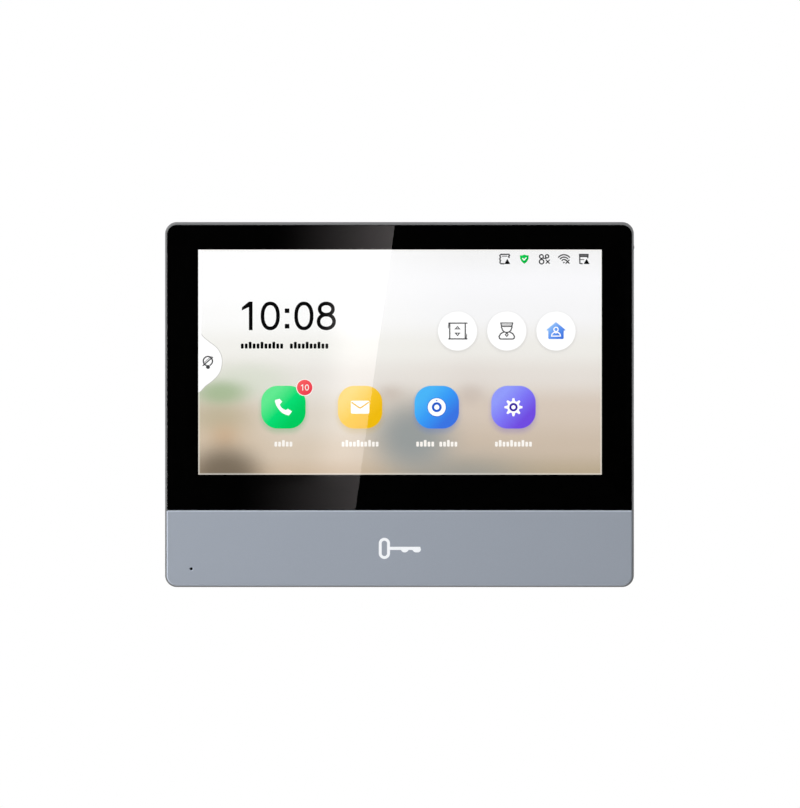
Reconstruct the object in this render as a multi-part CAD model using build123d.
"""Wall-hung video intercom monitor with a 7 inch touch display and a lit touch key.

Frame: +X to the right as the user sees it, +Z up, -Y out of the wall towards the user.
The origin is the middle of the wall plate's screw pattern, on the wall surface.
All sizes are in millimetres. Depths are Y values, so the front glass is at -DEPTH and the wall at 0.
"""

from build123d import *
import math
import os

# ---------------------------------------------------------------- driving dimensions
WIDTH, HEIGHT, DEPTH = 178.5, 139.0, 22.0
CORNER_R = 4.5
SCREEN_W, SCREEN_H = 154.2, 85.9  # the lit picture of a 7 inch 16:9 panel
SCREEN_Z = 16.1  # the picture's centre above the middle of the case
SPLIT_Z = -40.25  # where the glass meets the lower trim
RIM, TOP_RIM = 0.70, 1.05  # width of frame seen beside and above the glass
GAP = 0.03  # assembly gap between fixed pieces
LIFT = 7.0  # how far the monitor rises to leave the hooks of the wall plate

# ---------------------------------------------------------------- depth stations
Y_FRONT = -DEPTH
Y_RIM = Y_FRONT + 0.55  # front edge of the frame, just below the glass
GLASS_T = 1.1
Y_FILM = Y_FRONT + GLASS_T  # back of the glass
FILM_T = 0.12
Y_TOUCH = Y_FILM + FILM_T + GAP
TOUCH_T = 0.3
Y_LEDGE = Y_TOUCH  # the glass and its film rest on this ledge
GASKET_T = 0.45
Y_GASKET = Y_TOUCH + TOUCH_T + GAP
Y_CELL = Y_GASKET + GASKET_T + GAP
CELL_T = 1.2
Y_GUIDE = Y_CELL + CELL_T + GAP
GUIDE_T = 2.0
TRAY_T = 0.3
Y_TRAY_BACK = Y_GUIDE + GUIDE_T + GAP + TRAY_T
Y_MID = Y_TRAY_BACK + GAP  # front of the frame's middle plate
MID_T = 1.3
Y_MID_BACK = Y_MID + MID_T
Y_PARTING = -14.0
BOARD_T = 1.6
Y_BOARD_FRONT = Y_MID_BACK + 0.7
Y_BOARD = Y_BOARD_FRONT + BOARD_T  # rear face of the main board, where its components stand
Y_POST = -10.0  # top of the frame's screw posts
Y_RECESS_IN, Y_RECESS = -6.0, -4.0  # inner and outer face of the cover's floor behind the wall plate
Y_TAPER = -6.0  # the cover's sides taper in from here to its back
Y_BACK_IN, Y_BACK = -2.5, -0.5
PLATE_T = 1.2

# ---------------------------------------------------------------- plan sizes
WALL = 2.0
GLASS_W = WIDTH - 2 * RIM
GLASS_TOP = HEIGHT / 2 - TOP_RIM
MODULE_W, MODULE_H, MODULE_Z = 164.9, 98.0, 14.6
TRIM_W = WIDTH - 1.2
TRIM_BOTTOM = -HEIGHT / 2 + 0.5
TRIM_T = 1.5
COVER_W, COVER_H = WIDTH - 1.2, HEIGHT - 1.2
TAPER = 4.0
BOARD_X, BOARD_Z = (-50.0, 84.0), (-30.0, 56.0)
PLATE_W, PLATE_H = 104.0, 96.0
RECESS_X, RECESS_Z = (-53.0, 53.0), (-56.5, 49.0)
WINDOW_X, WINDOW_Z = (-38.0, 27.5), (-34.0, 18.0)
CABLE_HOLE_X, CABLE_HOLE_Z = (-23.0, 23.0), (-28.0, 26.0)
HOOK_X, HOOK_Z = 44.5, 33.0
KEY_Z = -54.75
MIC_X, MIC_Z = -79.25, -62.55
SPEAKER_X, SPEAKER_Z, SPEAKER_R = 69.5, -50.0, 14.0
CASE_SCREWS = [(-78, 61.5), (0, 61.5), (66, 61.5), (-64, -61.5), (0, -61.5), (46, -61.5)]
BOARD_SCREWS = [(-46.5, 52.5), (62.0, 52.5), (-46.5, -26.5), (80.5, -26.5)]
KEY_BOARD_SCREWS = [(-28.0, -48.5), (28.0, -48.5)]
CATCH_X, CATCH_HINGE_Z, CATCH_TIP_Z = 31.0, 41.0, 30.0
CATCH_TRAVEL = 1.0  # how far the catch tip is pushed back while the monitor rises by LIFT
DOOR_HINGE_X, DOOR_HINGE_Z, DOOR_TOP = 87.95, 31.3, 61.8
DOOR_Y = (-13.0, -8.4)
CARD_Z, CARD_X = 48.0, (68.0, 83.0)
PIN_PITCH = 3.5


# ---------------------------------------------------------------- helpers
def block(x, y, z):
    """A box between pairs of limits along each axis."""
    size = [abs(b - a) for a, b in (x, y, z)]
    middle = [(a + b) / 2 for a, b in (x, y, z)]
    return Pos(*middle) * Box(*size)


def slab(sketch, y_back, y_front):
    """A sketch drawn in X and Z, extruded between two depths."""
    return extrude(Plane.XZ.offset(-y_back) * sketch, amount=y_back - y_front)


def rounded(x, z, r):
    """A rectangle in X and Z with one corner radius."""
    return Pos((x[0] + x[1]) / 2, (z[0] + z[1]) / 2) * RectangleRounded(x[1] - x[0], z[1] - z[0], r)


def panel(x, z, r_top, r_bottom):
    """A rectangle in X and Z whose top and bottom corners have their own radius."""
    shape = Pos((x[0] + x[1]) / 2, (z[0] + z[1]) / 2) * Rectangle(x[1] - x[0], z[1] - z[0])
    shape = fillet(shape.vertices().group_by(Axis.Y)[-1], r_top)
    return fillet(shape.vertices().group_by(Axis.Y)[0], r_bottom)


def centred(w, h, z=0.0, x=0.0):
    """Limits in X and Z of a rectangle about a centre."""
    return (x - w / 2, x + w / 2), (z - h / 2, z + h / 2)


def rod_x(y, z, r, x0, x1):
    return Pos((x0 + x1) / 2, y, z) * Rot(0, 90, 0) * Cylinder(r, abs(x1 - x0))


def rod_y(x, z, r, y0, y1):
    return Pos(x, (y0 + y1) / 2, z) * Rot(90, 0, 0) * Cylinder(r, abs(y1 - y0))


def rod_z(x, y, r, z0, z1):
    return Pos(x, y, (z0 + z1) / 2) * Cylinder(r, abs(z1 - z0))


def side_profile(points, x0, x1):
    """A closed outline of (y, z) points, extruded along X."""
    face = make_face(Polyline(*[(x0, y, z) for y, z in points], close=True))
    return extrude(face, amount=x1 - x0, dir=(1, 0, 0))


def strip(points, t, x0, x1):
    """A flat ribbon of thickness t that follows (y, z) points and runs from x0 to x1."""
    left, right = [], []
    for i, (y, z) in enumerate(points):
        before = points[max(i - 1, 0)]
        after = points[min(i + 1, len(points) - 1)]
        headings = []
        for a, b in ((before, (y, z)), ((y, z), after)):
            run = math.hypot(b[0] - a[0], b[1] - a[1])
            if run:
                headings.append(((b[0] - a[0]) / run, (b[1] - a[1]) / run))
        hy = sum(h[0] for h in headings)
        hz = sum(h[1] for h in headings)
        length = math.hypot(hy, hz)
        hy, hz = hy / length, hz / length
        mitre = hy * headings[0][0] + hz * headings[0][1]
        off = t / 2 / mitre
        left.append((y - hz * off, z + hy * off))
        right.append((y + hz * off, z - hy * off))
    return side_profile(left + right[::-1], x0, x1)


def cable(points, r):
    """A round lead along a smooth path through points."""
    path = Spline(*points)
    start = Plane(origin=path @ 0, z_dir=path % 0)
    return sweep(start * Circle(r), path=path)


def screw(x, z, y_seat, length, r_shank, r_head, head):
    """A cross-recessed screw whose head faces the wall side and whose shank points to the front."""
    body = rod_y(x, z, r_shank, y_seat - length, y_seat) + rod_y(x, z, r_head, y_seat, y_seat + head)
    top = body.faces().sort_by(Axis.Y)[-1]
    body = fillet(top.edges(), head * 0.35)
    depth = (y_seat + head * 0.35, y_seat + head + 1)
    wide, thin = r_head * 0.62, r_head * 0.16
    for x_half, z_half in ((wide, thin), (thin, wide)):
        body -= block((x - x_half, x + x_half), depth, (z - z_half, z + z_half))
    return body


def gather(solids):
    """Separate solids kept together in one node."""
    return Compound(children=[s for shape in solids for s in shape.solids()])


# ---------------------------------------------------------------- display
def glass_outline(inset=0.0):
    x = (-GLASS_W / 2 + inset, GLASS_W / 2 - inset)
    z = (SPLIT_Z + inset, GLASS_TOP - inset)
    return panel(x, z, CORNER_R - 0.7 - inset, 0.5)


def cover_glass():
    body = slab(glass_outline(GAP), Y_FILM, Y_FRONT)
    return chamfer(body.faces().sort_by(Axis.Y)[0].edges(), 0.2)


def bezel_film():
    window = rounded(*centred(SCREEN_W + 0.5, SCREEN_H + 0.5, SCREEN_Z), 0.5)
    return slab(glass_outline(0.05) - window, Y_FILM + FILM_T, Y_FILM)


def touch_sensor():
    return slab(rounded(*centred(165.0, 98.4, MODULE_Z), 0.8), Y_TOUCH + TOUCH_T, Y_TOUCH)


def display_gasket():
    ring = rounded(*centred(164.4, 97.6, MODULE_Z), 0.8) - rounded(*centred(156.4, 88.1, SCREEN_Z), 0.8)
    return slab(ring, Y_GASKET + GASKET_T, Y_GASKET)


def lcd_panel():
    return slab(rounded(*centred(MODULE_W - 1.0, MODULE_H - 1.0, MODULE_Z), 0.4), Y_CELL + CELL_T, Y_CELL)


def light_guide():
    x, z = centred(160.0, 92.0, SCREEN_Z)
    return slab(rounded(x, z, 0.6), Y_GUIDE + GUIDE_T, Y_GUIDE)


def led_strip():
    z_top = SCREEN_Z - 46.3
    board = block((-78, 78), (Y_GUIDE + 0.1, Y_GUIDE + 1.9), (z_top - 1.4, z_top - 0.8))
    pitch = 156.0 / 24
    lamps = [
        block((x - 1.6, x + 1.6), (Y_GUIDE + 0.4, Y_GUIDE + 1.6), (z_top - 0.8, z_top))
        for x in [-78 + pitch * (i + 0.5) for i in range(24)]
    ]
    return board + lamps


def lcd_tray():
    x, z = centred(MODULE_W, MODULE_H, MODULE_Z)
    inner_x, inner_z = centred(MODULE_W - 2 * TRAY_T, MODULE_H - 2 * TRAY_T, MODULE_Z)
    body = slab(rounded(x, z, 0.8), Y_TRAY_BACK, Y_CELL)
    body -= slab(rounded(inner_x, inner_z, 0.5), Y_TRAY_BACK - TRAY_T, Y_CELL - 1)
    body -= block((56.6, 76.4), (Y_CELL - 1, Y_CELL + 1.0), (z[0] - 1, z[0] + 0.5))
    for x_mid in (-45.0, 0.0, 45.0):  # windows that lighten the back
        body -= slab(rounded(*centred(26.0, 60.0, MODULE_Z, x_mid), 4), Y_TRAY_BACK + 1, Y_TRAY_BACK - TRAY_T - 0.1)
    return body


def touch_ribbon():
    path = [
        (Y_TOUCH + 0.42, -34.3),
        (Y_TOUCH + 0.42, -34.85),
        (Y_MID_BACK + 0.5, -34.85),
        (Y_BOARD + 0.95, -31.0),
        (Y_BOARD + 0.95, -27.5),
    ]
    return strip(path, 0.15, 47.0, 54.6)


def display_ribbon():
    path = [
        (Y_CELL + 0.6, -33.98),
        (Y_CELL + 0.6, -34.85),
        (Y_MID_BACK + 0.5, -34.85),
        (Y_BOARD + 0.95, -31.0),
        (Y_BOARD + 0.95, -27.5),
    ]
    return strip(path, 0.2, 57.0, 76.0)


def cable_sockets():
    """Board sockets at the lower edge: two for flat ribbons and three for two-way leads."""
    sockets = []
    for x in ((45.9, 55.7), (55.9, 77.1)):
        body = block(x, (Y_BOARD, Y_BOARD + 1.9), (-29.3, -24.6))
        body -= block((x[0] + 0.8, x[1] - 0.8), (Y_BOARD + 0.8, Y_BOARD + 1.1), (-30, -27.2))
        sockets.append(body)
    for x in LEAD_X:
        body = block((x - 2.3, x + 2.3), (Y_BOARD, Y_BOARD + 3.2), (-29.6, -25.0))
        sockets.append(body - block((x - 1.6, x + 1.6), (Y_BOARD + 0.8, Y_BOARD + 2.6), (-31, -28.2)))
    return gather(sockets)


LEAD_X = (33.0, 38.0, 43.0)


# ---------------------------------------------------------------- front frame and trim
def front_frame():
    body = slab(RectangleRounded(WIDTH, HEIGHT, CORNER_R), Y_PARTING, Y_RIM)
    body = fillet(body.faces().sort_by(Axis.Y)[0].edges(), 0.5)
    body = chamfer(body.faces().sort_by(Axis.Y)[-1].outer_wire().edges(), 0.35)
    body -= slab(glass_outline(-GAP), Y_LEDGE, Y_FRONT - 1)
    trim_x = (-TRIM_W / 2 - GAP, TRIM_W / 2 + GAP)
    trim_z = (TRIM_BOTTOM - GAP, SPLIT_Z + 0.1)
    body -= slab(panel(trim_x, trim_z, 0.3, CORNER_R - 0.4), Y_FRONT + TRIM_T + GAP, Y_FRONT - 1)
    cavity_x, cavity_z = centred(166.4, 100.0, SCREEN_Z - 1.3)
    body -= slab(rounded(cavity_x, cavity_z, 1.0), Y_MID, Y_FRONT - 1)
    hollow = slab(RectangleRounded(WIDTH - 2 * WALL, HEIGHT - 2 * WALL, CORNER_R - WALL), Y_PARTING + 1, Y_LEDGE + 1.4)
    keep = block(
        (cavity_x[0] - 1.2, cavity_x[1] + 1.2), (Y_FRONT, Y_MID_BACK), (cavity_z[0] - 1.2, cavity_z[1] + 1.2)
    )
    body -= hollow - keep
    body -= slab(rounded((-79, -54), (-22, 52), 3), Y_MID_BACK + 1, Y_MID - 1)  # opening in the middle plate
    body -= block((46, 77), (Y_MID - 1, Y_MID_BACK + 1), (cavity_z[0], cavity_z[0] + 1.6))  # ribbon slot
    for x, z in CASE_SCREWS:
        y_base = Y_MID + 0.2 if z > 0 else Y_LEDGE + 1.0
        body += rod_y(x, z, 2.8, y_base, Y_POST)
        body -= rod_y(x, z, 1.27, max(y_base + 0.4, -15.4), Y_POST + 1)
    for x, z in BOARD_SCREWS:
        body += rod_y(x, z, 2.4, Y_MID + 0.5, Y_BOARD_FRONT)
        body -= rod_y(x, z, 1.02, Y_MID + 0.3, Y_BOARD_FRONT + 1)
    for x, z in KEY_BOARD_SCREWS:
        body += rod_y(x, z, 2.2, Y_LEDGE + 1.0, Y_KEY_BOARD)
        body -= rod_y(x, z, 1.02, Y_KEY_BOARD - 2.2, Y_KEY_BOARD + 1)
    body -= slab(rounded(*centred(30.0, 14.0, KEY_Z), 1.5), -16, Y_FRONT)
    body += rod_y(MIC_X, MIC_Z, 5.0, Y_LEDGE + 1.0, -16.2)
    body -= rod_y(MIC_X, MIC_Z, 4.02, Y_MIC, -16)
    body -= rod_y(MIC_X, MIC_Z, 1.5, Y_FRONT, Y_MIC + 1)
    for x, z in TRIM_HOOKS:
        body -= block((x - 2.3, x + 2.3), (Y_FRONT, -18), (z - 1.0, z + 0.5))
    return body


TRIM_HOOKS = [(x, z) for x in (-70.0, -38.0, 38.0, 70.0) for z in (-43.5, -65.0) if (x, z) != (-70.0, -65.0)]
Y_KEY_BOARD = -17.9
Y_MIC = -19.1


def key_icon(grow=0.0):
    """Outline of a key lying on its side: an oval bow, a thin shank and two rounded bits."""
    bow_x, shank_r = -5.75, 0.58
    bow = Pos(bow_x, 0) * RectangleRounded(4.2 + 2 * grow, 8.0 + 2 * grow, 2.09 + grow)
    bow -= Pos(bow_x, 0) * RectangleRounded(2.1 - 2 * grow, 5.9 - 2 * grow, 1.04 - grow)
    height = 2 * (shank_r + grow)
    shank_from, shank_to = bow_x + 1.6, 7.35
    shank = Pos((shank_from + shank_to) / 2, 0) * Rectangle(shank_to - shank_from, height)
    tip = Pos(shank_to - 0.3, -0.45) * Circle(1.05 + grow)
    bits = [Pos(x, 0.03) * Circle(1.55 + grow) for x in (2.0, 6.4)]
    below = Pos(3.0, shank_r + grow - 5) * Rectangle(20, 10)
    blade = (shank + tip + bits) & below
    return Pos(0, KEY_Z) * (bow + blade)


def lower_trim():
    outline = panel((-TRIM_W / 2, TRIM_W / 2), (TRIM_BOTTOM, SPLIT_Z - 0.08), 0.5, CORNER_R - 0.5)
    body = slab(outline, Y_FRONT + TRIM_T, Y_FRONT)
    body = chamfer(body.faces().sort_by(Axis.Y)[0].edges(), 0.45)
    body -= slab(key_icon(GAP), Y_FRONT + TRIM_T + 1, Y_FRONT - 1)
    body -= rod_y(MIC_X, MIC_Z, 0.55, Y_FRONT - 1, Y_FRONT + TRIM_T + 1)
    body -= Pos(MIC_X, Y_FRONT + 0.1, MIC_Z) * Rot(90, 0, 0) * Cone(0.55, 0.85, 0.3)
    body -= rod_y(MIC_X, MIC_Z, 1.2, Y_FRONT + 0.8, Y_FRONT + TRIM_T + 1)
    for x, z in TRIM_HOOKS:
        body += block((x - 2.0, x + 2.0), (Y_FRONT + TRIM_T - 0.1, -18.9), (z - 0.6, z + 0.3))
        barb = [(-18.9, z + 0.3), (-18.9, z + 0.5), (-19.25, z + 0.9), (-19.25, z + 0.3)]
        body += side_profile(barb, x - 2.0, x + 2.0)
    return gather([body])


def key_icon_lens():
    """Clear plastic moulding: the key outline stands on a base plate behind the trim."""
    y_base = Y_FRONT + TRIM_T
    body = slab(key_icon(), y_base + 0.3, Y_FRONT + 0.02)
    return body + slab(rounded(*centred(26.0, 11.0, KEY_Z), 1), y_base + 0.75, y_base + GAP)


def key_light_guide():
    y = (Y_FRONT + TRIM_T + 0.8, Y_KEY_BOARD - GAP)
    body = slab(rounded(*centred(25.0, 10.5, KEY_Z), 1), y[1], y[0])
    for x in KEY_LED_X:
        body -= block((x - 1.3, x + 1.3), (y[1] - 1.1, y[1] + 1), (KEY_Z - 1.3, KEY_Z + 1.3))
    return body


KEY_LED_X = (-7.0, 0.0, 7.0)


def key_leds():
    lamps = []
    for x in KEY_LED_X:
        base = block((x - 1.0, x + 1.0), (Y_KEY_BOARD - 0.35, Y_KEY_BOARD), (KEY_Z - 1.0, KEY_Z + 1.0))
        lamps.append(base + rod_y(x, KEY_Z, 0.75, Y_KEY_BOARD - 0.8, Y_KEY_BOARD - 0.3))
    return gather(lamps)


def touch_key_board():
    body = slab(rounded(*centred(64.0, 17.5, -51.5), 1.5), Y_KEY_BOARD + 1.0, Y_KEY_BOARD)
    for x, z in KEY_BOARD_SCREWS:
        body -= rod_y(x, z, 1.15, -20, -16)
    chip = block((18.0, 22.0), (Y_KEY_BOARD + 1.0, Y_KEY_BOARD + 2.0), (-56.0, -52.0))
    socket = block((-23.0, -17.0), (Y_KEY_BOARD + 1.0, Y_KEY_BOARD + 3.4), (-50.5, -46.0))
    socket -= block((-22.0, -18.0), (Y_KEY_BOARD + 1.3, Y_KEY_BOARD + 3.1), (-48.0, -45.0))
    return body + chip + socket


# ---------------------------------------------------------------- audio
def microphone():
    body = rod_y(MIC_X, MIC_Z, 3.0, -18.5, -15.8)
    return body - rod_y(MIC_X, MIC_Z, 0.9, -19, -18.0)


def microphone_boot():
    body = rod_y(MIC_X, MIC_Z, 3.98, Y_MIC + 0.02, -15.9)
    body -= rod_y(MIC_X, MIC_Z, 3.03, -18.53, -15)
    return body - rod_y(MIC_X, MIC_Z, 0.9, -20, -18)


Y_CONE = -5.0  # the speaker's front face, against its gasket


def speaker_basket():
    """Pressed frame: a flange, a sloping wall with four windows, and a seat for the magnet."""
    outline = Polyline(
        (11.5, Y_CONE), (SPEAKER_R, Y_CONE), (SPEAKER_R, Y_CONE - 0.6), (12.1, Y_CONE - 0.6), (12.1, -6.5),
        (8.9, -8.2), (8.05, -8.2), (8.05, -7.7), (8.7, -7.7), (11.5, -6.2), close=True,
    )
    body = revolve(make_face(Plane.XY * outline), axis=Axis.Y)
    for turn in range(4):
        body -= Rot(0, 45 + 90 * turn, 0) * block((9.3, 11.4), (-9, -6.6), (-3, 3))
    return Pos(SPEAKER_X, 0, SPEAKER_Z) * body


def speaker_surround():
    """Soft ring: a bead clamped between basket and grille, and a half roll reaching in to the dome."""
    top = Y_CONE + 0.17
    outline = Polyline(
        (SPEAKER_R - 0.2, top), (SPEAKER_R - 0.2, Y_CONE + GAP), (11.2, Y_CONE + GAP), (11.0, -5.6), (10.5, -5.9),
        (9.9, -5.9), (9.28, -5.6), (9.28, -5.4), (10.0, -5.7), (10.4, -5.7), (10.8, -5.45), (11.0, top), close=True,
    )
    return Pos(SPEAKER_X, 0, SPEAKER_Z) * revolve(make_face(Plane.XY * outline), axis=Axis.Y)


def speaker_dome():
    """The moving dome, a thin shell of revolution that carries the voice coil."""
    top = [(0, 0), (2.2, 0), (4.4, -0.25), (6.2, -0.9), (7.6, -0.7), (9.2, -0.25)]
    y = Y_CONE - 0.45
    outline = [(r, y + rise) for r, rise in top] + [(r, y + rise - 0.25) for r, rise in top[::-1]]
    shell = make_face(Plane.XY * Polyline(*outline, close=True))
    return Pos(SPEAKER_X, 0, SPEAKER_Z) * revolve(shell, axis=Axis.Y)


def voice_coil():
    body = rod_y(0, 0, 6.3, -8.5, -6.63) - rod_y(0, 0, 5.95, -9, -6)
    return Pos(SPEAKER_X, 0, SPEAKER_Z) * body


def speaker_magnet():
    """Steel cup with a magnet puck and a top washer, with a ring gap for the voice coil."""
    cup = rod_y(0, 0, 8.0, -10.6, -7.72) - rod_y(0, 0, 6.6, -9.8, -7)
    puck = rod_y(0, 0, 5.6, -9.8, -7.6)
    seat = rod_y(0, 0, 9.0, -8.9, -8.22) - rod_y(0, 0, 7.9, -9, -8)
    return Pos(SPEAKER_X, 0, SPEAKER_Z) * (cup + puck + seat)


# ---------------------------------------------------------------- main board
def main_board():
    body = slab(rounded(BOARD_X, BOARD_Z, 1.5), Y_BOARD, Y_BOARD_FRONT)
    for x, z in BOARD_SCREWS:
        body -= rod_y(x, z, 1.2, -20, -10)
    return body


def board_screws():
    """Identical small screws: four hold the main board, two hold the touch key board."""
    seats = [(x, z, Y_BOARD) for x, z in BOARD_SCREWS]
    seats += [(x, z, Y_KEY_BOARD + 1.0) for x, z in KEY_BOARD_SCREWS]
    return gather([screw(x, z, y, 3.0, 1.0, 1.9, 1.2) for x, z, y in seats])


def chip(x, z, w, h, t):
    """A square-bodied package standing on the main board, with softened top edges."""
    body = block((x - w / 2, x + w / 2), (Y_BOARD, Y_BOARD + t), (z - h / 2, z + h / 2))
    return chamfer(body.faces().sort_by(Axis.Y)[-1].edges(), min(0.15, t / 4))


CPU_X, CPU_Z = 10.0, 36.0


def processor():
    return chip(CPU_X, CPU_Z, 15.0, 15.0, 1.3)


def thermal_pad():
    y = Y_BOARD + 1.3 + GAP
    return block((CPU_X - 7, CPU_X + 7), (y, y + 0.5), (CPU_Z - 7, CPU_Z + 7))


def heat_sink():
    y = Y_BOARD + 1.3 + 2 * GAP + 0.5
    body = block((CPU_X - 12, CPU_X + 12), (y, y + 1.2), (CPU_Z - 12, CPU_Z + 12))
    for i in range(8):
        x = CPU_X - 11.4 + i * 22.8 / 7
        body += block((x - 0.6, x + 0.6), (y + 1.1, y + 4.0), (CPU_Z - 12, CPU_Z + 12))
    return body


def memory_chips():
    return gather([chip(-12.0, 46.0, 13.0, 9.0, 1.1), chip(-12.0, 34.0, 13.0, 9.0, 1.1), chip(30.0, 30.0, 11.5, 13.0, 1.0)])


def power_inductors():
    coils = []
    for x, z in ((-24.0, 24.0), (-34.0, 24.0)):
        body = block((x - 3.5, x + 3.5), (Y_BOARD, Y_BOARD + 3.2), (z - 3.5, z + 3.5))
        coils.append(fillet(body.edges().filter_by(Axis.Y), 1.2))
    return gather(coils)


def capacitors():
    """Three aluminium can capacitors on square plastic feet."""
    cans = []
    for x in (-40.0, -31.0, -22.0):
        foot = block((x - 3.3, x + 3.3), (Y_BOARD, Y_BOARD + 0.8), (47.7, 54.3))
        can = rod_y(x, 51.0, 3.1, Y_BOARD + 0.8, Y_BOARD + 5.6)
        can = fillet(can.faces().sort_by(Axis.Y)[-1].edges(), 0.4)
        cans.append(foot + can)
    return gather(cans)


def coin_cell_holder():
    x, z = 50.0, 38.0
    body = rod_y(x, z, 7.6, Y_BOARD, Y_BOARD + 2.6) - rod_y(x, z, 6.35, Y_BOARD + 0.6, Y_BOARD + 4)
    return body - block((x - 3, x + 3), (Y_BOARD + 1.4, Y_BOARD + 4), (z - 9, z))


def coin_cell():
    body = rod_y(50.0, 38.0, 6.25, Y_BOARD + 0.6 + GAP, Y_BOARD + 2.6)
    return fillet(body.faces().sort_by(Axis.Y)[-1].edges(), 0.3)


def wifi_module():
    board = block((26.0, 38.0), (Y_BOARD, Y_BOARD + 0.8), (42.0, 54.0))
    can = block((26.6, 37.4), (Y_BOARD + 0.8, Y_BOARD + 2.3), (42.6, 51.5))
    post = rod_y(29.0, 52.7, 0.9, Y_BOARD + 0.8, Y_BOARD + 1.5)
    return board + fillet(can.edges().filter_by(Axis.Y), 0.5) + post


def wifi_antenna():
    """A flexible printed antenna stuck on the inside of the cover's left wall."""
    x_wall = -COVER_W / 2 + WALL + GAP
    return block((x_wall, x_wall + 0.2), (-12.5, -7.0), (8.0, 44.0))


def antenna_cable():
    points = [(29.0, -10.65, 52.7), (24.0, -9.4, 56.4), (10.0, -9.0, 57.0), (-25.0, -9.0, 57.0), (-55.0, -9.0, 56.8),
              (-74.0, -9.2, 52.5), (-83.0, -9.6, 45.0), (-85.8, -9.7, 38.0)]
    return cable(points, 0.5)


Y_LEAD = Y_BOARD + 1.7  # leads leave their sockets at this depth


def lead(x, points):
    """A lead that leaves its board socket downwards and then runs through points."""
    return cable([(x, Y_LEAD, -28.4), (x, Y_LEAD, -31.0), *points], 0.65)


def microphone_lead():
    return lead(LEAD_X[0], [(31.0, -9.9, -37.4), (0.0, -9.4, -38.2), (-40.0, -10.2, -39.0), (-65.0, -11.6, -48.0),
                            (-77.0, -12.8, -58.0), (-79.2, -15.0, -62.3)])


def key_board_lead():
    return lead(LEAD_X[1], [(34.0, -12.3, -37.6), (10.0, -13.0, -39.0), (-12.0, -14.4, -40.0), (-19.6, -15.6, -43.0),
                            (-20.0, -15.7, -47.0)])


def speaker_lead():
    return lead(LEAD_X[2], [(45.5, -11.4, -36.0), (51.0, -11.0, -42.0), (57.0, -9.2, -45.5), (59.0, -7.9, -46.2)])


# ---------------------------------------------------------------- connectors
JACK_X, JACK_Z = 4.0, (0.0, 16.0)
IO_PINS, IO_X = 8, -21.5
POWER_PINS, POWER_X = 2, 21.0
HEADER_Z = (4.0, 12.0)
HEADER_H, PLUG_H = 7.4, 8.4


def rj45_jack():
    """Network socket that opens downwards, with the latch notch on its wall side."""
    x = (JACK_X - 8.0, JACK_X + 8.0)
    y = (Y_BOARD, Y_BOARD + 11.2)
    body = block(x, y, JACK_Z)
    body -= block((JACK_X - 5.95, JACK_X + 5.95), (y[0] + 2.0, y[0] + 8.8), (JACK_Z[0] - 1, JACK_Z[0] + 13.0))
    body -= block((JACK_X - 3.1, JACK_X + 3.1), (y[0] + 8.7, y[0] + 10.2), (JACK_Z[0] - 1, JACK_Z[0] + 10.0))
    return body


def rj45_contacts():
    wires = []
    for i in range(8):
        x = JACK_X + (i - 3.5) * 1.02
        wires.append(
            strip(
                [(Y_BOARD + 2.25, 1.0), (Y_BOARD + 2.25, 2.5), (Y_BOARD + 3.6, 8.0), (Y_BOARD + 3.6, 12.7)],
                0.3,
                x - 0.16,
                x + 0.16,
            )
        )
    return gather(wires)


def header(x_mid, pins):
    """Board socket for a plug-in terminal block, open downwards."""
    half = pins * PIN_PITCH / 2 + 0.9
    y = (Y_BOARD, Y_BOARD + HEADER_H)
    body = block((x_mid - half, x_mid + half), y, HEADER_Z)
    return body - block((x_mid - half + 0.7, x_mid + half - 0.7), (y[0] + 0.8, y[1] - 0.8), (3, HEADER_Z[1] - 1.4))


def pin_x(x_mid, pins):
    return [x_mid + (i - (pins - 1) / 2) * PIN_PITCH for i in range(pins)]


def header_pins():
    """Square pins that reach down from the headers' back walls into the plugs."""
    y = Y_BOARD + HEADER_H / 2
    pins = []
    for x in pin_x(IO_X, IO_PINS) + pin_x(POWER_X, POWER_PINS):
        pins.append(block((x - 0.4, x + 0.4), (y - 0.4, y + 0.4), (HEADER_Z[0] + 0.6, HEADER_Z[1] - 1.4)))
    return gather(pins)


def terminal_plug(x_mid, pins):
    """Plug-in terminal block: a tongue for the header, wire entries below and screw wells on the wall side."""
    half = pins * PIN_PITCH / 2 + 0.9
    y_mid = Y_BOARD + HEADER_H / 2
    y = (Y_BOARD + 0.3, Y_BOARD + 0.3 + PLUG_H)
    body = block((x_mid - half, x_mid + half), y, (-7.0, HEADER_Z[0] - 0.1))
    body = chamfer(body.edges().filter_by(Axis.X), 0.4)
    body += block((x_mid - half + 0.85, x_mid + half - 0.85), (Y_BOARD + 0.95, Y_BOARD + HEADER_H - 0.95), (3.5, 10.3))
    for x in pin_x(x_mid, pins):
        body -= block((x - 0.55, x + 0.55), (y_mid - 0.55, y_mid + 0.55), (3.0, 11.0))
        body -= block((x - 1.2, x + 1.2), (y_mid - 1.3, y_mid + 1.3), (-8.0, -1.6))
        body -= rod_y(x, -3.8, 1.35, y[1] - 2.6, y[1] + 1)
    return body


def terminal_screws(x_mid, pins):
    """Clamp screws in the plug's wells."""
    y_top = Y_BOARD + 0.3 + PLUG_H
    heads = []
    for x in pin_x(x_mid, pins):
        head = rod_y(x, -3.8, 1.28, y_top - 2.55, y_top - 1.2)
        heads.append(head - block((x - 1.1, x + 1.1), (y_top - 1.7, y_top), (-3.98, -3.62)))
    return gather(heads)


def usb_socket():
    """Small service socket at the board's right edge."""
    shell = block((78.4, 84.2), (Y_BOARD, Y_BOARD + 2.7), (33.2, 40.6))
    shell -= block((79.4, 85.0), (Y_BOARD + 0.35, Y_BOARD + 2.35), (33.55, 40.25))
    return shell + block((79.3, 83.2), (Y_BOARD + 1.1, Y_BOARD + 1.6), (34.7, 39.1))


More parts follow.
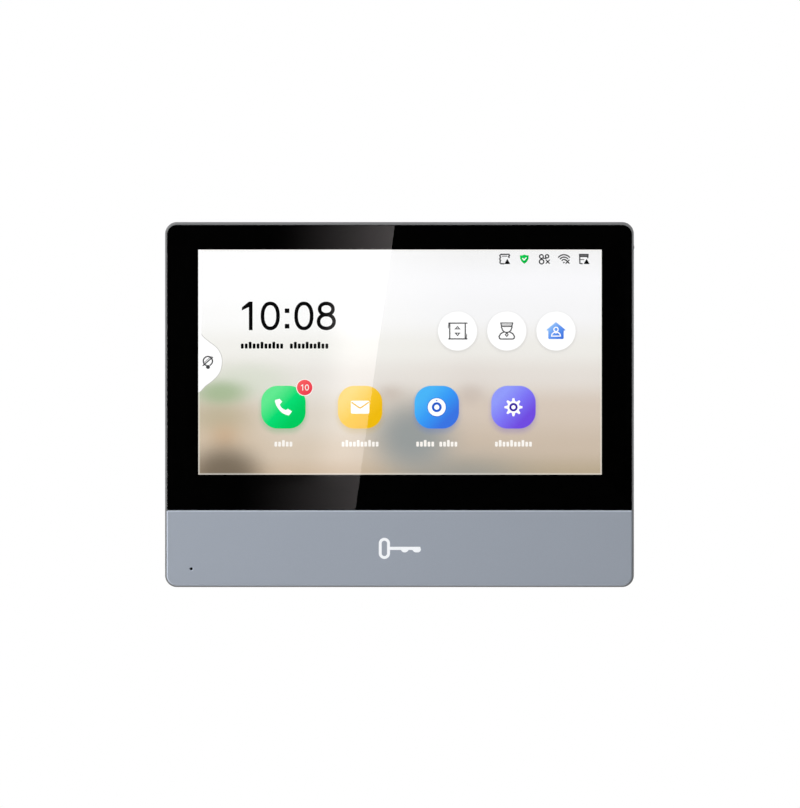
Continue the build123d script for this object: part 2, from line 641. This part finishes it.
def card_socket():
    x, z = (67.0, 82.4), (CARD_Z - 7.2, CARD_Z + 7.2)
    body = block(x, (Y_BOARD, Y_BOARD + 1.95), z)
    return body - block((67.1, 83.0), (Y_BOARD + 0.45, Y_BOARD + 1.6), (CARD_Z - 5.6, CARD_Z + 5.6))


def memory_card():
    """Memory card with a stepped edge and a finger ridge at its outer end."""
    y = (Y_BOARD + 0.6, Y_BOARD + 1.35)
    body = block(CARD_X, y, (CARD_Z - 5.5, CARD_Z + 5.5))
    body -= block((CARD_X[0] - 1, CARD_X[0] + 6.4), (y[0] - 1, y[1] + 1), (CARD_Z - 6, CARD_Z - 4.2))
    ridge = block((CARD_X[1] - 0.55, CARD_X[1]), (y[1] - 0.1, y[1] + 0.22), (CARD_Z - 5.5, CARD_Z + 5.5))
    return body + ridge


RESET_Z = 24.0


def reset_switch():
    body = block((79.0, 82.6), (Y_BOARD, Y_BOARD + 3.4), (RESET_Z - 3.0, RESET_Z + 3.0))
    return body - rod_x(Y_BOARD + 1.8, RESET_Z, 0.95, 81.6, 84)


def reset_button():
    return rod_x(Y_BOARD + 1.8, RESET_Z, 0.9, 81.9, 84.0)


# ---------------------------------------------------------------- rear cover
def cover_outline(inset, radius):
    return RectangleRounded(COVER_W - 2 * inset, COVER_H - 2 * inset, radius)


def tapered(inset, y_from, y_to, extra):
    """A block that narrows towards the wall, inset from the cover's outside."""
    wide = Plane.XZ.offset(-y_from) * cover_outline(inset, 4.0)
    narrow = Plane.XZ.offset(-y_to) * cover_outline(inset + extra, 4.0)
    return loft([wide, narrow])


def cover_shell():
    body = slab(cover_outline(0, 4.0), Y_TAPER, Y_PARTING)
    body += tapered(0, Y_TAPER, Y_BACK, TAPER)
    body -= slab(cover_outline(WALL, 2.2), Y_TAPER, Y_PARTING - 1)
    recess = rounded(RECESS_X, RECESS_Z, 3)
    around = rounded((RECESS_X[0] - WALL, RECESS_X[1] + WALL), (RECESS_Z[0] - WALL, RECESS_Z[1] + WALL), 4)
    upper = tapered(WALL, Y_TAPER - 0.01, Y_BACK_IN, TAPER * (Y_BACK_IN - Y_TAPER) / (Y_BACK - Y_TAPER))
    body -= upper - slab(around, 1, Y_TAPER - 1)
    body -= slab(recess, 1, Y_RECESS)
    lip = slab(cover_outline(WALL - 0.55, 2.6) - cover_outline(WALL + 0.4, 1.6), Y_PARTING + 0.6, Y_PARTING - 1.2)
    return body + lip


def speaker_port(body):
    """A channel in the back that leads the sound from the grille down to the bottom edge."""
    x = (SPEAKER_X - 13.9, SPEAKER_X + 13.5)
    floor = (Y_CONE + 0.2, Y_BACK_IN - 0.3)
    pad = block((x[0] - 1.0, x[1] + 1.0), (floor[0], -1.5), (-68.0, SPEAKER_Z + 15.6))
    body += pad & slab(cover_outline(TAPER + 0.4, 4.0), 0, Y_PARTING)
    body -= block(x, (floor[1], 1), (-75.0, SPEAKER_Z + 14.6))
    rows = []
    pitch = 2.7
    for i in range(-4, 5):
        for j in range(-4, 5):
            u, v = pitch * (i + j / 2), pitch * j * math.sqrt(3) / 2
            if math.hypot(u, v) < 10.6:
                rows.append(Pos(SPEAKER_X + u, SPEAKER_Z + v) * Circle(0.85))
    body -= slab(Sketch() + rows, 1, floor[0] - 1)
    collar = rod_y(SPEAKER_X, SPEAKER_Z, 15.1, floor[0] - 2.4, floor[0] + 0.3)
    return body + (collar - rod_y(SPEAKER_X, SPEAKER_Z, SPEAKER_R + 0.1, -9, floor[0]))


def rear_cover():
    body = speaker_port(cover_shell())
    outer = rounded((WINDOW_X[0] - 1.5, WINDOW_X[1] + 1.5), (WINDOW_Z[0] - 1.5, WINDOW_Z[1] + 1.5), 2.5)
    window = rounded(WINDOW_X, WINDOW_Z, 2)
    skirt = slab(outer - window, Y_RECESS_IN + 0.1, Y_BOARD + 0.2)
    body += skirt & block((-60, 60), (-20, 0), (WINDOW_Z[0] - 5, HEADER_Z[0] - 6))
    body -= slab(window, 1, Y_RECESS_IN - 1)
    for x in (-HOOK_X, HOOK_X):
        for z in (-HOOK_Z, HOOK_Z):
            slot = rounded((x - 1.1, x + 1.1), (z - 2.5 - LIFT, z + 2.1), 0.6)
            body -= slab(slot, 1, Y_RECESS_IN - 1)
    for x, z in CASE_SCREWS:
        body += rod_y(x, z, 3.6, Y_POST + GAP, Y_BACK_IN + 0.5)
        body -= rod_y(x, z, 1.4, Y_POST - 1, 1)
        body -= rod_y(x, z, 2.6, Y_SCREW_SEAT, 1)
    body -= catch_ramp()
    body -= door_opening()
    body -= rod_x(Y_BOARD + 1.8, RESET_Z, 0.7, 80, 95)
    vents = [Pos(x, -9.6) * RectangleRounded(1.6, 5.6, 0.7) for x in [-56 + 7 * i for i in range(17)] if abs(x) > 2]
    body -= extrude(Plane.XY.offset(COVER_H / 2 - 4) * (Sketch() + vents), amount=6)
    return body


Y_SCREW_SEAT = -7.0


def catch_ramp():
    """A wedge-shaped notch. Its floor rises at the rate that the catch tip is pushed back as the monitor lifts."""
    slope = CATCH_TRAVEL * 0.95 / LIFT
    z_deep = CATCH_TIP_Z + 0.8
    z_out = CATCH_TIP_Z - CATCH_TRAVEL / slope
    floor = Y_RECESS - (z_deep - z_out) * slope
    points = [(Y_RECESS + 0.5, z_out), (Y_RECESS, z_out), (floor, z_deep), (Y_RECESS + 0.5, z_deep)]
    return side_profile(points, CATCH_X - 3.2, CATCH_X + 3.2)


def door_opening():
    """Opening for the card and service sockets, a shallow seat for the door and bores for its pivots."""
    cut = block((80, 95), (DOOR_Y[0] + 0.35, DOOR_Y[1] - 0.45), (DOOR_HINGE_Z + 1.4, DOOR_TOP - 4.2))
    seat = block((DOOR_HINGE_X - 0.7, 95), (DOOR_Y[0] - 0.1, DOOR_Y[1] + 0.1), (DOOR_HINGE_Z - 0.75, DOOR_TOP + 0.15))
    pivots = rod_y(DOOR_HINGE_X, DOOR_HINGE_Z, 0.43, DOOR_Y[0] - 0.65, DOOR_Y[1] + 0.65)
    return cut + seat + pivots


def card_door():
    """Side door over the card and service sockets, with pivots at its foot and a finger lip near its top."""
    x = (DOOR_HINGE_X - 0.6, DOOR_HINGE_X + 0.6)
    body = block(x, DOOR_Y, (DOOR_HINGE_Z, DOOR_TOP))
    body += rod_y(DOOR_HINGE_X, DOOR_HINGE_Z, 0.6, *DOOR_Y)
    body += block((x[0] - 0.9, x[0] + 0.1), (DOOR_Y[0] + 0.5, DOOR_Y[1] - 0.6), (DOOR_HINGE_Z + 1.8, DOOR_TOP - 4.5))
    lip_r, proud = 2.6, WIDTH / 2 + 0.25
    lip = rod_y(proud - lip_r, DOOR_TOP - 1.9, lip_r, DOOR_Y[0] + 0.6, DOOR_Y[1] - 0.6)
    body += lip & block((x[1] - 0.2, x[1] + 5), (-20, 0), (DOOR_TOP - 7, DOOR_TOP))
    return body + rod_y(DOOR_HINGE_X, DOOR_HINGE_Z, 0.4, DOOR_Y[0] - 0.6, DOOR_Y[1] + 0.6)


def case_screws():
    return gather([screw(x, z, Y_SCREW_SEAT, 8.0, 1.25, 2.3, 1.8) for x, z in CASE_SCREWS])


# ---------------------------------------------------------------- wall plate
def wall_plate():
    """Pressed steel plate with four hooks, a cable opening and holes for two kinds of wall box."""
    sheet = rounded(*centred(PLATE_W, PLATE_H), 3)
    sheet -= rounded(CABLE_HOLE_X, CABLE_HOLE_Z, 3)
    for side in (-1, 1):
        sheet -= Pos(30.0 * side, 0) * SlotOverall(8.0, 4.2)
        sheet -= Pos(0, 41.65 * side) * SlotOverall(6.0, 4.2, rotation=90)
        for z in (-43.5, 43.5):
            sheet -= Pos(47.0 * side, z) * Circle(2.25)
        for z in (-HOOK_Z, HOOK_Z):
            inner, outer = HOOK_X - 7.0, HOOK_X - PLATE_T / 2
            sheet -= rounded(tuple(sorted((inner * side, outer * side))), (z - 2, z + 6), 0.5)
    sheet -= rounded((CATCH_X - 3.5, CATCH_X + 3.5), (CATCH_TIP_Z - 2.6, CATCH_HINGE_Z - 0.2), 0.6)
    sheet -= Pos(CATCH_X, CATCH_HINGE_Z + 3.3) * Circle(0.82)
    body = slab(sheet, 0, -PLATE_T)
    for x in (-HOOK_X, HOOK_X):
        for z in (-HOOK_Z, HOOK_Z):
            neck, back, front = -PLATE_T + 0.2, Y_RECESS_IN - 0.3, Y_RECESS_IN - 1.6
            outline = [(neck, z - 2), (front, z - 2), (front, z + 5.2), (front + 0.5, z + 6), (back, z + 6),
                       (back, z + 2), (neck, z + 2)]
            body += side_profile(outline, x - PLATE_T / 2, x + PLATE_T / 2)
    return body


def catch_clamp():
    """The spring strip's fixed foot, with the rivet that holds it to the plate."""
    z = CATCH_HINGE_Z + 3.3
    foot = (-PLATE_T - 0.55, -PLATE_T - GAP)
    body = block((CATCH_X - 2.5, CATCH_X + 2.5), foot, (CATCH_HINGE_Z + 0.3, CATCH_HINGE_Z + 6.0))
    body += rod_y(CATCH_X, z, 0.8, -PLATE_T - 0.1, -0.35)
    head = rod_y(CATCH_X, z, 1.6, -PLATE_T - 1.2, -PLATE_T - 0.5)
    return body + fillet(head.faces().sort_by(Axis.Y)[0].edges(), 0.3)


def spring_catch():
    """The flexing end of the spring strip: a flat leaf with a folded nose that drops into the cover's notch."""
    y_flat = -PLATE_T - 0.3
    y_tip = Y_RECESS - CATCH_TRAVEL + 0.15  # outside of the nose, just clear of the notch
    fold = 1.8
    path = [
        (y_flat, CATCH_HINGE_Z),
        (y_flat, CATCH_TIP_Z + fold),
        (y_tip + 0.4, CATCH_TIP_Z),
        (y_flat, CATCH_TIP_Z - fold),
        (y_flat, CATCH_TIP_Z - fold - 0.4),
    ]
    body = strip(path, 0.4, CATCH_X - 2.5, CATCH_X + 2.5)
    return body + rod_x(y_flat, CATCH_HINGE_Z, 0.2, CATCH_X - 2.5, CATCH_X + 2.5)


# ---------------------------------------------------------------- write one file for each node
NODES = {
    "cover_glass": cover_glass,
    "bezel_film": bezel_film,
    "touch_sensor": touch_sensor,
    "display_gasket": display_gasket,
    "lcd_panel": lcd_panel,
    "light_guide": light_guide,
    "led_strip": led_strip,
    "lcd_tray": lcd_tray,
    "touch_ribbon": touch_ribbon,
    "display_ribbon": display_ribbon,
    "cable_sockets": cable_sockets,
    "front_frame": front_frame,
    "lower_trim": lower_trim,
    "key_icon_lens": key_icon_lens,
    "key_light_guide": key_light_guide,
    "key_leds": key_leds,
    "touch_key_board": touch_key_board,
    "microphone": microphone,
    "microphone_boot": microphone_boot,
    "speaker_basket": speaker_basket,
    "speaker_surround": speaker_surround,
    "speaker_dome": speaker_dome,
    "voice_coil": voice_coil,
    "speaker_magnet": speaker_magnet,
    "main_board": main_board,
    "board_screws": board_screws,
    "processor": processor,
    "thermal_pad": thermal_pad,
    "heat_sink": heat_sink,
    "memory_chips": memory_chips,
    "power_inductors": power_inductors,
    "capacitors": capacitors,
    "coin_cell_holder": coin_cell_holder,
    "coin_cell": coin_cell,
    "wifi_module": wifi_module,
    "wifi_antenna": wifi_antenna,
    "antenna_cable": antenna_cable,
    "microphone_lead": microphone_lead,
    "key_board_lead": key_board_lead,
    "speaker_lead": speaker_lead,
    "rj45_jack": rj45_jack,
    "rj45_contacts": rj45_contacts,
    "io_header": lambda: header(IO_X, IO_PINS),
    "power_header": lambda: header(POWER_X, POWER_PINS),
    "header_pins": header_pins,
    "io_plug": lambda: terminal_plug(IO_X, IO_PINS),
    "io_plug_screws": lambda: terminal_screws(IO_X, IO_PINS),
    "power_plug": lambda: terminal_plug(POWER_X, POWER_PINS),
    "power_plug_screws": lambda: terminal_screws(POWER_X, POWER_PINS),
    "usb_socket": usb_socket,
    "card_socket": card_socket,
    "memory_card": memory_card,
    "reset_switch": reset_switch,
    "reset_button": reset_button,
    "rear_cover": rear_cover,
    "card_door": card_door,
    "case_screws": case_screws,
    "wall_plate": wall_plate,
    "catch_clamp": catch_clamp,
    "spring_catch": spring_catch,
}

os.makedirs("parts", exist_ok=True)
for name, make in NODES.items():
    export_step(make(), f"parts/{name}.step")
